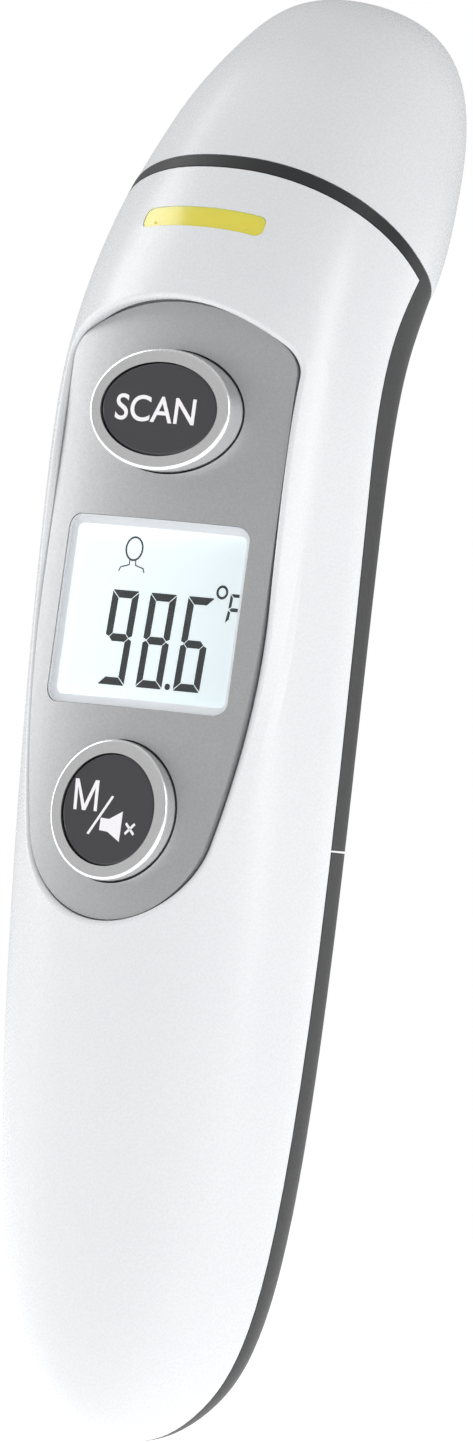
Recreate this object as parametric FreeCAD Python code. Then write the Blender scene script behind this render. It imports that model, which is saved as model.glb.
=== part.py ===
import FreeCAD, Part
import math
import os

# Handheld infrared thermometer for the forehead and, with its cap off, the ear. Millimetres.
# Z runs up the handle from the butt, the display faces -Y, and the head leans back towards +Y.
# Everything is drawn from the butt end and moved down at export, so that the origin is the
# middle of the hand's grip.

V = FreeCAD.Vector

# ---- driving dimensions ------------------------------------------------------------------
GRIP_HEIGHT = 44.0        # butt end to the middle of the grip
HANDLE_PATH = 142.0       # spine drawn from the butt to a little above the collar
SPINE_Y = 0.7             # the parting line's place behind the frame's Z axis
BEND_START, BEND_END = 103.0, 136.0   # where along the spine the head leans back
HEAD_LEAN = 45.0          # degrees, at the end of the bend
SQUARENESS = 2.2          # superellipse exponent of the body's cross-sections
# along the spine, half width, depth in front of the parting line, depth behind it
HANDLE_SECTIONS = (
    (0.0, 0.0, 0.0, 0.0), (1.0, 4.6, 4.8, 3.0), (3.0, 7.7, 7.2, 5.4), (7.0, 11.3, 9.7, 7.8),
    (14.0, 14.3, 12.0, 9.4), (26.0, 16.5, 13.8, 10.3), (44.0, 18.0, 15.0, 10.5),
    (66.0, 18.8, 15.8, 10.6), (88.0, 19.1, 16.1, 11.0), (104.0, 19.2, 15.3, 12.0),
    (114.0, 19.1, 14.6, 12.8), (122.0, 18.8, 14.8, 12.3), (129.0, 18.5, 15.9, 10.6),
    (136.0, 17.3, 17.4, 8.4), (142.0, 15.4, 18.3, 6.8))
HANDLE_STATIONS = 30      # cross-sections that the handle's skin is drawn through
CAP_PATH = 30.2           # the dome's own centre line, from the collar's centre to its tip
CAP_CURL = 22.0           # degrees by which it straightens up towards the tip
CAP_ROUNDING = 0.2        # how much rounder its sections get
CAP_STATIONS = 16
# along the dome's centre line, half width, half depth
CAP_SECTIONS = ((0.0, 18.5, 13.25), (7.8, 17.2, 14.1), (15.1, 15.2, 14.2), (21.4, 13.0, 12.7),
                (26.2, 10.2, 10.3), (29.2, 6.2, 6.2), (30.2, 0.0, 0.0))
END_ANGLE = 0.02          # the skin stops this near each pole, as an angle
WALL = 1.8                # front and rear shells
CAP_WALL = 1.5
JOINT_GAP = 0.12          # visible line between neighbouring shells
DOOR_TOP = 64.7           # seam between the rear shell and the battery door
RING_PATH = 129.0         # where the cap meets the dark collar
COLLAR_HEIGHT = 1.4

FASCIA_HEIGHT, FASCIA_Y = 88.0, -11.6  # a point on the fascia's centre line
FASCIA_TILT = 4.0         # degrees, top leaning back
FASCIA_CROWN = 63.0       # radius across the panel
FASCIA_THICK = 1.2
FASCIA_HALF, FASCIA_TOP, FASCIA_BOTTOM = 14.7, 33.6, -33.0
TOP_RADIUS, SHOULDER_RADIUS, BOTTOM_RADIUS, SIDE_RADIUS = 24.0, 4.0, 12.0, 110.5
SIDE_BREAK = 2.0          # height where the straight side turns into the long side arc
LEDGE_THICK = 1.2
LIP_RADIUS = 0.5          # rounding of the shell's edge round the fascia

WINDOW_HALF_X, WINDOW_HALF_Y, WINDOW_RADIUS = 11.8, 10.15, 1.6
LCD_VIEW_X, LCD_VIEW_Y = 10.9, 9.2
SCAN_HEIGHT, SCAN_HALF_X, SCAN_HALF_Y, SCAN_PROUD = 21.65, 9.1, 6.55, 2.1
MODE_HEIGHT, MODE_HALF, MODE_PROUD = -21.25, 7.55, 1.4
RING_BAND = 1.5           # width of a button's bright ring
BUTTON_TRAVEL = 0.4
BUTTON_GAP = 0.15

BOARD_FRONT, BOARD_BACK = -6.6, -7.8
BATTERY_RADIUS, BATTERY_LENGTH = 5.15, 44.5
BATTERY_X, BATTERY_Y = 5.6, 2.2
BAY_BOTTOM, BAY_TOP = 14.6, 63.9
CONTACT_THICK, SPRING_LENGTH = 0.4, 3.7
APERTURE_RADIUS = 3.6
APERTURE_WALL = 5.0       # how deep the opening in the cap's tip is
PROBE_LENGTH = 22.0

FAR = 80.0                # half size of the cutting blocks


# ---- the body's skin ---------------------------------------------------------------------
def ease(q):
    """0 to 1 with a level start and end."""
    q = min(max(q, 0.0), 1.0)
    return q * q * (3.0 - 2.0 * q)


def lean(path):
    """The handle spine's lean from vertical, in radians, at a distance along it."""
    return math.radians(HEAD_LEAN * ease((path - BEND_START) / (BEND_END - BEND_START)))


def walk(angle_at, start, path, steps=300):
    """The point reached by following a leaning line in the YZ plane."""
    step = path / steps
    y, z = start
    for i in range(steps):
        angle = angle_at((i + 0.5) * step)
        y += math.sin(angle) * step
        z += math.cos(angle) * step
    return V(0, y, z)


def spine(path):
    return walk(lean, (SPINE_Y, 0.0), path)


def smooth(sections, angle_of):
    """One curve through a table of sections, read with value(angle)."""
    curve = Part.BSplineCurve()
    curve.interpolate(Points=[V(*(section[1:] + (0.0,))[:3]) for section in sections],
                      Parameters=[angle_of(section[0]) for section in sections])
    return curve


def half_section(centre, angle, half_width, depth, power, toward):
    """Half of a cross-section, from +X round to -X: toward is -1 in front, 1 behind."""
    across = V(0, math.cos(angle), -math.sin(angle)) * toward
    points = []
    for i in range(17):
        turn = math.pi * i / 16
        x = half_width * math.copysign(abs(math.cos(turn)) ** (2 / power), math.cos(turn))
        d = depth * math.sin(turn) ** (2 / power) if 0 < i < 16 else 0.0
        points.append(V(x, 0, 0) + centre + across * d)
    curve = Part.BSplineCurve()
    curve.interpolate(Points=points, Parameters=[i / 16 for i in range(17)],
                      InitialTangent=across, FinalTangent=across * -1)
    return curve.toShape()


def section_wire(centre, angle, half_width, front, back, power):
    return Part.Wire([half_section(centre, angle, half_width, back, power, 1),
                      half_section(centre, angle, half_width, front, power, -1)])


def shrunk(depth, inset):
    """A section's half size after its skin moves in by inset, never quite to nothing."""
    return depth - inset * (1 - math.exp(-depth / (1.5 * inset))) if inset else depth


def handle_angle(path):
    """Path as an angle, 0 to 90 degrees, in which the rounded butt is evenly spaced."""
    return math.acos(1 - path / HANDLE_PATH)


HANDLE_PROFILE = smooth(HANDLE_SECTIONS, handle_angle)


def handle(inset):
    """The handle, from the butt to above the collar, its skin moved inwards by inset."""
    wires = []
    for i in range(HANDLE_STATIONS + 1):
        turn = max(math.pi / 2 * i / HANDLE_STATIONS, END_ANGLE)
        path = inset + (HANDLE_PATH - inset) * (1 - math.cos(turn))
        half_width, front, back = HANDLE_PROFILE.value(turn)
        wires.append(section_wire(spine(path), lean(path), shrunk(half_width, inset),
                                  shrunk(front, inset), shrunk(back, inset), SQUARENESS))
    return Part.makeLoft(wires, True, False)


RING_SECTION = next(section for section in HANDLE_SECTIONS if section[0] == RING_PATH)
RING_OFFSET = (RING_SECTION[2] - RING_SECTION[3]) / 2
RING_LEAN = lean(RING_PATH)
RING_CENTRE = spine(RING_PATH) + V(0, -math.cos(RING_LEAN), math.sin(RING_LEAN)) * RING_OFFSET


def cap_angle(path):
    """Path as an angle, 0 to 90 degrees, in which the rounded tip is evenly spaced."""
    return math.asin(min(path / CAP_PATH, 1.0))


CAP_PROFILE = smooth(CAP_SECTIONS, cap_angle)


def cap_lean(path):
    return RING_LEAN - math.radians(CAP_CURL) * max(path / CAP_PATH, 0.0) ** 1.5


def dome(inset, first, last):
    """The cap's dome from first to last along its centre line, its skin moved in by inset."""
    wires = []
    low, high = first, min(cap_angle(last), math.pi / 2 - END_ANGLE)
    for i in range(CAP_STATIONS + 1):
        turn = max(high * i / CAP_STATIONS, 0.0)
        path = max((CAP_PATH - inset) * math.sin(turn), low) if i else low
        half_width, half_depth, _ = CAP_PROFILE.value(turn)
        angle = cap_lean(path)
        centre = walk(cap_lean, (RING_CENTRE.y, RING_CENTRE.z), path)
        offset = RING_OFFSET * (1 - ease(path / 14.0))
        widest = centre + V(0, math.cos(angle), -math.sin(angle)) * offset
        wires.append(section_wire(
            widest, angle, shrunk(half_width, inset), shrunk(half_depth + offset, inset),
            shrunk(half_depth - offset, inset), SQUARENESS - CAP_ROUNDING * ease(path / 20.0)))
    return Part.makeLoft(wires, True, False)


def side_of_parting(toward):
    """Everything in front of (-1) or behind (1) the parting line, less half the joint gap."""
    shift = V(0, toward * JOINT_GAP / 2, 0)
    points = []
    for i in range(12):
        points.append(spine(BEND_START + 3.0 * i) + shift)
    last = lean(BEND_END)
    curve = Part.BSplineCurve()
    curve.interpolate(Points=points, InitialTangent=V(0, 0, 1),
                      FinalTangent=V(0, math.sin(last), math.cos(last)))
    beyond = points[-1] + V(0, math.sin(last), math.cos(last)) * FAR
    corners = [points[-1], beyond, V(0, toward * 2 * FAR, beyond.z),
               V(0, toward * 2 * FAR, -10), V(0, SPINE_Y, -10) + shift, points[0]]
    edges = [curve.toShape()]
    for start, end in zip(corners, corners[1:]):
        edges.append(Part.LineSegment(start, end).toShape())
    block = Part.Face(Part.Wire(edges)).extrude(V(2 * FAR, 0, 0))
    block.translate(V(-FAR, 0, 0))
    return block


# ---- local frames ------------------------------------------------------------------------
def placed(shape, frame):
    moved = shape.copy()
    moved.Placement = frame.multiply(moved.Placement)
    return moved


TILT = math.radians(FASCIA_TILT)
# fascia frame: X across, Y up the panel, Z out of its face
FASCIA = FreeCAD.Placement(
    V(0, FASCIA_Y, FASCIA_HEIGHT),
    FreeCAD.Rotation(V(1, 0, 0), V(0, math.sin(TILT), math.cos(TILT)),
                     V(0, -math.cos(TILT), math.sin(TILT)), "ZXY"))
# head frame, at the collar's centre: X across, Y towards the back, Z along the probe
HEAD = FreeCAD.Placement(
    RING_CENTRE,
    FreeCAD.Rotation(V(1, 0, 0), V(0, math.cos(RING_LEAN), -math.sin(RING_LEAN)),
                     V(0, math.sin(RING_LEAN), math.cos(RING_LEAN)), "ZXY"))


def on_fascia(shape):
    return placed(shape, FASCIA)


def on_head(shape):
    return placed(shape, HEAD)


# ---- plain solids ------------------------------------------------------------------------
def box(x0, x1, y0, y1, z0, z1):
    return Part.makeBox(x1 - x0, y1 - y0, z1 - z0, V(x0, y0, z0))


def rod(radius, x, y, z0, z1):
    return Part.makeCylinder(radius, z1 - z0, V(x, y, z0))


def cone(r0, r1, z0, z1):
    return Part.makeCone(r0, r1, z1 - z0, V(0, 0, z0))


def oval(half_x, half_y, height, z0, z1):
    """An upright prism of elliptical or round section, centred at (0, height)."""
    if abs(half_x - half_y) < 1e-6:
        edge = Part.Circle(V(0, height, z0), V(0, 0, 1), half_x).toShape()
    else:
        major = V(half_x, height, z0)
        edge = Part.Ellipse(major, V(0, height + half_y, z0), V(0, height, z0)).toShape()
    return Part.Face(Part.Wire([edge])).extrude(V(0, 0, z1 - z0))


def rounded_box(half_x, half_y, radius, z0, z1, y=0.0):
    block = box(-half_x, half_x, y - half_y, y + half_y, z0, z1)
    upright = [e for e in block.Edges if abs(e.Vertexes[0].Z - e.Vertexes[1].Z) > 1e-6]
    return block.makeFillet(radius, upright)


def edges_at(shape, z):
    """Edges that lie wholly at one height of a shape's own frame."""
    found = []
    for edge in shape.Edges:
        span = edge.BoundBox
        if abs(span.ZMin - z) < 1e-4 and abs(span.ZMax - z) < 1e-4:
            found.append(edge)
    return found


def cable(points, radius, bend):
    """A wire of straight runs joined by tangent arcs."""
    edges, start = [], points[0]
    for before, corner, after in zip(points, points[1:], points[2:]):
        back, on = (before - corner).normalize(), (after - corner).normalize()
        half = back.getAngle(on) / 2
        reach = bend / math.tan(half)
        enter, leave = corner + back * reach, corner + on * reach
        centre = corner + (back + on).normalize() * (bend / math.sin(half))
        middle = centre + (corner - centre).normalize() * bend
        edges.append(Part.LineSegment(start, enter).toShape())
        edges.append(Part.Arc(enter, middle, leave).toShape())
        start = leave
    edges.append(Part.LineSegment(start, points[-1]).toShape())
    first = (points[1] - points[0]).normalize()
    profile = Part.Wire([Part.Circle(points[0], first, radius).toShape()])
    return Part.Wire(edges).makePipeShell([profile], True, True)


def fuse(shapes):
    return shapes[0].multiFuse(shapes[1:]).removeSplitter()


def both_sides(shape):
    return [shape, shape.mirror(V(0, 0, 0), V(1, 0, 0))]


# ---- the fascia's outline and crown --------------------------------------------------------
def fascia_outline(grow):
    """The panel's closed outline, moved outwards by grow: all arcs keep their centres."""
    half = FASCIA_HALF + grow
    top_centre = FASCIA_TOP - TOP_RADIUS
    shoulder_x = FASCIA_HALF - SHOULDER_RADIUS
    shoulder_y = top_centre + math.sqrt((TOP_RADIUS - SHOULDER_RADIUS) ** 2 - shoulder_x ** 2)
    top_angle = math.atan2(shoulder_y - top_centre, shoulder_x)
    bottom_centre = FASCIA_BOTTOM + BOTTOM_RADIUS
    side_x = FASCIA_HALF - SIDE_RADIUS
    side_angle = math.atan2(bottom_centre - SIDE_BREAK, -side_x)

    def point(x, y, radius, angle):
        return V(x + (radius + grow) * math.cos(angle), y + (radius + grow) * math.sin(angle), 0)

    shoulder = point(0, top_centre, TOP_RADIUS, top_angle)
    shoulder_mid = point(shoulder_x, shoulder_y, SHOULDER_RADIUS, top_angle / 2)
    side_top, side_low = V(half, shoulder_y, 0), V(half, SIDE_BREAK, 0)
    side_mid = point(side_x, SIDE_BREAK, SIDE_RADIUS, side_angle / 2)
    side_end = point(side_x, SIDE_BREAK, SIDE_RADIUS, side_angle)
    low_mid = V(0, FASCIA_BOTTOM - grow, 0)

    def flip(p):
        return V(-p.x, p.y, p.z)

    edges = [Part.Arc(shoulder, V(0, FASCIA_TOP + grow, 0), flip(shoulder)).toShape()]
    for turn in (lambda p: p, flip):
        edges.append(Part.Arc(turn(shoulder), turn(shoulder_mid), turn(side_top)).toShape())
        edges.append(Part.LineSegment(turn(side_top), turn(side_low)).toShape())
        edges.append(Part.Arc(turn(side_low), turn(side_mid), turn(side_end)).toShape())
    edges.append(Part.Arc(side_end, low_mid, flip(side_end)).toShape())
    return Part.Wire(Part.__sortEdges__(edges))


def panel_prism(grow, z0, z1):
    face = Part.Face(fascia_outline(grow))
    face.translate(V(0, 0, z0))
    return face.extrude(V(0, 0, z1 - z0))


def crown(z):
    """All that lies under the crowned surface at height z above the panel's face."""
    drum = Part.makeCylinder(FASCIA_CROWN + z, 2 * FAR, V(0, -FAR, -FASCIA_CROWN), V(0, 1, 0))
    return drum.common(box(-30, 30, -FAR, FAR, -30, 30))


def crowned(prism, z0, z1):
    return prism.common(crown(z1)).cut(crown(z0))


# ---- shells ------------------------------------------------------------------------------
OUTER = handle(0)
INNER = handle(WALL)
INSIDE = handle(WALL + 0.25)           # room for what stands inside the shells
IN_FRONT = side_of_parting(-1)
BEHIND = side_of_parting(1)
LIGHT_HEIGHT, LIGHT_HALF_X, LIGHT_HALF_Z = -7.6, 7.8, 1.15
LIGHT_POST = (6.6, -10.4)
BOARD_POSTS = ((10.9, 29.3), (8.9, -30.8))
TRAY_SCREW = (13.3, 32.0)            # x, z
POST_RADIUS = 2.0                    # of the posts that the tray is screwed to
CATCH_X, CATCH_RADIUS = 13.3, 2.0
SENSOR_RADIUS = 5.0
FLANGE_RADIUS, FLANGE_THICK = 9.4, 1.2
SENSOR_SCREW_X = 7.6


def head_slab(z0, z1):
    return on_head(box(-FAR, FAR, -FAR, FAR, z0, z1))


def light_prism(grow):
    """The status light's rounded bar, drawn out forwards from inside the head."""
    prism = rounded_box(LIGHT_HALF_X + grow, LIGHT_HALF_Z + grow, 0.9, 0, 20)
    prism.rotate(V(0, 0, 0), V(1, 0, 0), 90)
    prism.translate(V(0, 0, LIGHT_HEIGHT))
    return on_head(prism)


def forward_rod(radius, x, y, z, length):
    return Part.makeCylinder(radius, length, V(x, y, z), V(0, -1, 0))


def pocket_lip(shell):
    """The edge over the middle of the pocket's top arc; rounding it carries on all the way round."""
    lip = []
    for edge in shell.Edges:
        point = edge.valueAt((edge.FirstParameter + edge.LastParameter) / 2)
        local = FASCIA.inverse().multVec(point)
        if abs(local.x) < 1.0 and abs(local.y - FASCIA_TOP) < 0.05 and local.z > 0:
            lip.append(edge)
    return lip


def front_shell():
    """White front half: skin, the ledge behind the fascia, and posts for boards and tray."""
    low = head_slab(-3 * FAR, -COLLAR_HEIGHT - JOINT_GAP)
    skin = OUTER.common(IN_FRONT).common(low)
    ledge = crowned(panel_prism(2.4, -30, 30), -FASCIA_THICK - LEDGE_THICK, -FASCIA_THICK)
    x, z = TRAY_SCREW
    posts = both_sides(forward_rod(POST_RADIUS, x, -2.5, z, 8.0))
    for x, y in BOARD_POSTS:
        posts += both_sides(on_fascia(rod(2.2, x, y, BOARD_FRONT, -FASCIA_THICK - LEDGE_THICK / 2)))
    x, z = LIGHT_POST
    posts += both_sides(on_head(forward_rod(1.2, x, -7.3, z, 8.0)))
    inward = [on_fascia(ledge)] + posts
    shell = skin.cut(INNER).multiFuse([skin.common(piece) for piece in inward])

    pocket = panel_prism(0.0, -12, 30).cut(crown(-FASCIA_THICK))
    clear = BUTTON_GAP
    cutters = [
        on_fascia(pocket),
        on_fascia(rounded_box(13.4, 11.8, WINDOW_RADIUS, -7, 0)),
        on_fascia(oval(SCAN_HALF_X + clear, SCAN_HALF_Y + clear, SCAN_HEIGHT, -7, 0)),
        on_fascia(oval(MODE_HALF + clear, MODE_HALF + clear, MODE_HEIGHT, -7, 0)),
        light_prism(0.03)]
    for x, y in BOARD_POSTS:
        cutters += both_sides(on_fascia(rod(0.8, x, y, BOARD_FRONT - 1, BOARD_FRONT + 3.0)))
    x, z = TRAY_SCREW
    cutters += both_sides(forward_rod(0.8, x, -2.0, z, 4.2))
    shell = shell.cut(cutters)
    return shell.makeFillet(LIP_RADIUS, pocket_lip(shell))


def rear_shell():
    """Charcoal upper back, one piece with the collar ring and the bulkhead under the cap."""
    back = OUTER.common(BEHIND).common(head_slab(-3 * FAR, -COLLAR_HEIGHT / 2))
    back = back.common(box(-FAR, FAR, -FAR, FAR, DOOR_TOP + JOINT_GAP, 3 * FAR)).cut(INNER)
    collar = OUTER.common(head_slab(-COLLAR_HEIGHT, 0))
    spigot_skin = dome(CAP_WALL + 0.5, -1.0, 14.0).cut(dome(CAP_WALL + 1.7, -2.0, 15.0))
    spigot_skin = spigot_skin.common(head_slab(-0.5, 2.0))
    spigot = spigot_skin.common(on_head(box(-8.5, 8.5, -FAR, FAR, -1, 3)))
    deep = handle(WALL + 1.3)
    lip = INSIDE.common(box(0, FAR, -1.2, 1.5, 72, 102)).cut(deep)
    root = OUTER.common(box(0, FAR, 1.0, 3.0, 72, 102)).cut(deep)
    shell = back.multiFuse([collar, spigot] + both_sides(lip.fuse(root)))
    cutters = [on_head(rod(SENSOR_RADIUS + 0.1, 0, 0, -3, 3))]
    for x in (CATCH_X, -CATCH_X):
        cutters.append(on_head(rod(CATCH_RADIUS + 0.02, x, 0, -0.9, 1)))
    for x in (SENSOR_SCREW_X, -SENSOR_SCREW_X):
        cutters.append(on_head(rod(0.62, x, 0, -3, 1)))
    return shell.cut(cutters)


def battery_door():
    """Charcoal lower back, slid off towards the butt, with a thumb grip and a tab on top."""
    low = box(-FAR, FAR, -FAR, FAR, -10, DOOR_TOP - JOINT_GAP)
    skin = OUTER.common(BEHIND).common(low).cut(INNER)
    tab = INSIDE.cut(handle(WALL + 1.3)).common(box(-6, 6, 5, FAR, DOOR_TOP - 3, DOOR_TOP + 3.5))
    neck = INNER.cut(handle(WALL + 1.3)).common(box(-6, 6, 5, FAR, DOOR_TOP - 3, DOOR_TOP - 0.5))
    door = skin.multiFuse([tab, neck])
    rear_face = SPINE_Y + 10.6
    grips = []
    for i in range(6):
        height = 47.0 + 2.2 * i
        grips.append(Part.makeCylinder(0.6, 16, V(-8, rear_face + 0.1, height), V(1, 0, 0)))
    return door.cut(grips)


def probe_cap():
    """White dome over the ear probe, open at its tip, with two magnet bosses."""
    solid = dome(0, JOINT_GAP, CAP_PATH)
    axis = on_head(Part.makeLine(V(0, 0, 5), V(0, 0, 60)))
    reach = HEAD.inverse().multVec(solid.common(axis).Vertexes[-1].Point).z
    kept = [on_head(rod(APERTURE_RADIUS + 2.4, 0, 0, reach - APERTURE_WALL, reach + 5.0))]
    for x in (CATCH_X, -CATCH_X):
        kept.append(on_head(rod(CATCH_RADIUS + 1.85, x, 0, -2.0, 3.2)))
    cap = solid.cut(dome(CAP_WALL, -1.0, CAP_PATH - 1.0).cut(kept))
    cutters = [on_head(rod(APERTURE_RADIUS, 0, 0, reach - 8.0, reach + 5.0))]
    for x in (CATCH_X, -CATCH_X):
        cutters.append(on_head(rod(CATCH_RADIUS + 0.02, x, 0, 0, 1.8)))
    return cap.cut(cutters)


def pair_on_head(radius, x, z0, z1):
    return Part.makeCompound([on_head(rod(radius, x, 0, z0, z1)),
                              on_head(rod(radius, -x, 0, z0, z1))])


# ---- front panel -------------------------------------------------------------------------
def fascia_panel():
    plate = crowned(panel_prism(-0.15, -12, 12), -FASCIA_THICK, 0)
    clear = BUTTON_GAP
    return on_fascia(plate.cut([
        rounded_box(WINDOW_HALF_X, WINDOW_HALF_Y, WINDOW_RADIUS, -5, 5),
        oval(SCAN_HALF_X + clear, SCAN_HALF_Y + clear, SCAN_HEIGHT, -5, 5),
        oval(MODE_HALF + clear, MODE_HALF + clear, MODE_HEIGHT, -5, 5)]))


def display_window():
    pane = rounded_box(WINDOW_HALF_X - 0.05, WINDOW_HALF_Y - 0.05, WINDOW_RADIUS, -5, 5)
    return on_fascia(crowned(pane, -FASCIA_THICK, -0.12))


def lcd_bezel():
    frame = rounded_box(12.4, 10.75, WINDOW_RADIUS, -2.7, 0)
    frame = frame.cut(rounded_box(LCD_VIEW_X, LCD_VIEW_Y, 0.8, -5, 5))
    return on_fascia(frame.common(crown(-FASCIA_THICK - 0.05)))


def fever_light_window():
    """Yellow translucent bar in the front shell, with a stem that reaches the lamps."""
    bar = light_prism(0.0).common(handle(0.08)).cut(handle(WALL + 0.4))
    stem = on_head(box(-6, 6, -11.0, -8.4, LIGHT_HEIGHT - 0.8, LIGHT_HEIGHT + 0.8))
    return bar.fuse(stem)


# ---- push buttons ------------------------------------------------------------------------
def button_ring(half_x, half_y, height, proud):
    ring = oval(half_x, half_y, height, -1.0, proud)
    ring = ring.makeFillet(0.35, edges_at(ring, proud))
    bore = oval(half_x - RING_BAND, half_y - RING_BAND, height, -2.0, proud + 1)
    ring = ring.cut(bore)
    return on_fascia(ring)


def button_key(half_x, half_y, height, proud):
    """The dark key: its face inside the ring, a shoulder under the ring and a flange."""
    top = proud - 0.2
    face = oval(half_x - RING_BAND - 0.06, half_y - RING_BAND - 0.06, height, -2.0, top)
    face = face.makeFillet(0.3, edges_at(face, top))
    shoulder = oval(half_x - 0.02, half_y - 0.02, height, -4.0, -1.02)
    flange = oval(half_x + 0.8, half_y + 0.8, height, -4.3, -3.5)
    stem = rod(1.5, 0, height, -4.6, -4.2)
    return on_fascia(face.multiFuse([shoulder, flange, stem]))


def switch_body(height):
    case = rounded_box(3.0, 3.0, 0.3, BOARD_FRONT, BOARD_FRONT + 1.6, height)
    return on_fascia(case.cut(rod(1.8, 0, height, BOARD_FRONT + 0.4, 0)))


def switch_button(height):
    return on_fascia(rod(1.7, 0, height, BOARD_FRONT + 0.9, -4.62))


# ---- display stack and boards --------------------------------------------------------------
def lcd_glass():
    panes = rounded_box(12.1, 10.5, 0.3, -3.85, -2.75)
    return on_fascia(panes)


def lcd_backlight():
    return on_fascia(rounded_box(11.9, 8.4, 0.3, -6.0, -3.9))


def lcd_connectors():
    strips = [box(-11, 11, 8.7, 10.2, BOARD_FRONT, -3.9), box(-11, 11, -10.2, -8.7, BOARD_FRONT, -3.9)]
    return on_fascia(Part.makeCompound(strips))


def lcd_holder():
    frame = rounded_box(13.2, 11.6, 0.8, BOARD_FRONT, -3.9)
    frame = frame.cut(rounded_box(12.0, 10.3, 0.3, -6.02, 0))
    slots = [box(-11.1, 11.1, 8.6, 10.3, -9, 0), box(-11.1, 11.1, -10.3, -8.6, -9, 0)]
    return on_fascia(frame.cut(slots))


def main_board():
    outline = box(-13.2, 13.2, -34.5, 33.0, BOARD_BACK, BOARD_FRONT)
    board = on_fascia(outline).common(INSIDE)
    holes = []
    for x, y in BOARD_POSTS:
        holes += both_sides(on_fascia(rod(0.95, x, y, BOARD_BACK - 1, BOARD_FRONT + 1)))
    return board.cut(holes)


def board_screws():
    screws = []
    for x, y in BOARD_POSTS:
        shank = rod(0.78, x, y, BOARD_BACK - 0.1, BOARD_FRONT + 2.8)
        head = rod(1.7, x, y, BOARD_BACK - 1.1, BOARD_BACK)
        slot = box(x - 1.2, x + 1.2, y - 0.2, y + 0.2, BOARD_BACK - 2, BOARD_BACK - 0.6)
        screws += both_sides(on_fascia(shank.fuse(head).cut(slot)))
    return Part.makeCompound(screws)


def processor():
    return on_fascia(rounded_box(3.5, 3.5, 0.2, BOARD_BACK - 1.0, BOARD_BACK, -2.0))


def board_parts():
    """Resistors, capacitors, a crystal and a memory chip on the board's back."""
    parts = []
    for row in range(3):
        for column in range(6):
            x, y = -9.0 + 3.4 * column, -13.0 - 4.0 * row
            parts.append(box(x, x + 1.6, y, y + 0.8, BOARD_BACK - 0.6, BOARD_BACK))
    parts.append(box(6.5, 11.0, -4.0, 1.0, BOARD_BACK - 1.4, BOARD_BACK))
    parts.append(box(-11.5, -8.5, -6.0, 1.5, BOARD_BACK - 1.2, BOARD_BACK))
    return on_fascia(Part.makeCompound(parts))


def sounder():
    can = rod(5.5, 0, 12.0, BOARD_BACK - 3.2, BOARD_BACK)
    return on_fascia(can.cut(rod(0.8, 0, 12.0, BOARD_BACK - 4, BOARD_BACK - 2.4)))


def light_board():
    return on_head(box(-8.2, 8.2, -7.3, -6.5, -11.6, -5.2))


def fever_lamps():
    lamps = [box(x - 1.2, x + 1.2, -8.35, -7.3, -8.4, -6.8) for x in (-3.5, 3.5)]
    return on_head(Part.makeCompound(lamps))


# ---- power -------------------------------------------------------------------------------
def battery_tray():
    """Black cradle for two cells, with end walls and a screwed ear on each side."""
    tray = box(-11.9, 11.9, -4.2, 2.9, BAY_BOTTOM - 1.3, BAY_TOP + 1.2)
    ends = [box(-10.4, 10.4, 2.8, 6.4, BAY_BOTTOM - 1.3, BAY_BOTTOM),
            box(-10.4, 10.4, 2.8, 6.4, BAY_TOP, BAY_TOP + 1.2)]
    x, z = TRAY_SCREW
    ears = both_sides(box(11.0, 15.2, -2.4, -0.9, z - 4, z + 4))
    tray = tray.multiFuse(ends + ears).common(INSIDE)
    cutters = [rod(BATTERY_RADIUS + 0.25, side * BATTERY_X, BATTERY_Y, BAY_BOTTOM, BAY_TOP)
               for side in (-1, 1)]
    cutters += both_sides(forward_rod(0.95, x, 0, z, 4.0))
    cutters += both_sides(forward_rod(1.95, x, 4.0, z, 4.9))
    cutters += both_sides(forward_rod(POST_RADIUS + 0.15, x, -2.45, z, 4.0))
    cutters.append(box(-9.1, 9.1, -0.6, 5.7, BAY_BOTTOM, BAY_BOTTOM + CONTACT_THICK + 0.05))
    cutters += both_sides(box(BATTERY_X - 0.9, BATTERY_X + 0.9, 0.4, 1.0, BAY_TOP - 1, BAY_TOP + 2))
    return tray.cut(cutters)


def tray_screws():
    x, z = TRAY_SCREW
    shank = forward_rod(0.78, x, -0.5, z, 5.3)
    head = forward_rod(1.7, x, 0.0, z, 0.88)
    slot = box(x - 1.2, x + 1.2, -0.4, 0.5, z - 0.2, z + 0.2)
    return Part.makeCompound(both_sides(shank.fuse(head).cut(slot)))


def battery(side, bottom, nub_up):
    cell = rod(BATTERY_RADIUS, 0, 0, 0, BATTERY_LENGTH - 1.0)
    cell = cell.makeFillet(0.5, edges_at(cell, 0) + edges_at(cell, BATTERY_LENGTH - 1.0))
    cell = cell.fuse(rod(1.9, 0, 0, BATTERY_LENGTH - 1.2, BATTERY_LENGTH))
    if not nub_up:
        cell.rotate(V(0, 0, BATTERY_LENGTH / 2), V(1, 0, 0), 180)
    cell.translate(V(side * BATTERY_X, BATTERY_Y, bottom))
    return cell


def coil_spring(x, z, height):
    """Conical contact spring standing on its plate."""
    coils, wire_radius = [], 0.35
    for i in range(4):
        ring_radius = 2.9 - 0.35 * i
        level = z + wire_radius - 0.1 + i * (height - 2 * wire_radius) / 3
        coils.append(Part.makeTorus(ring_radius, wire_radius, V(x, BATTERY_Y, level)))
        if i < 3:
            rise = (height - 2 * wire_radius) / 3
            coils.append(rod(wire_radius, x + ring_radius - 0.17, BATTERY_Y, level, level + rise))
    return coils


def lower_contact():
    """The plate that links the two cells at the butt end, with one spring."""
    top = BAY_BOTTOM + CONTACT_THICK
    plate = box(-9.0, 9.0, -0.5, 5.6, BAY_BOTTOM, top)
    return plate.multiFuse(coil_spring(-BATTERY_X, top, SPRING_LENGTH - 0.1))


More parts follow.
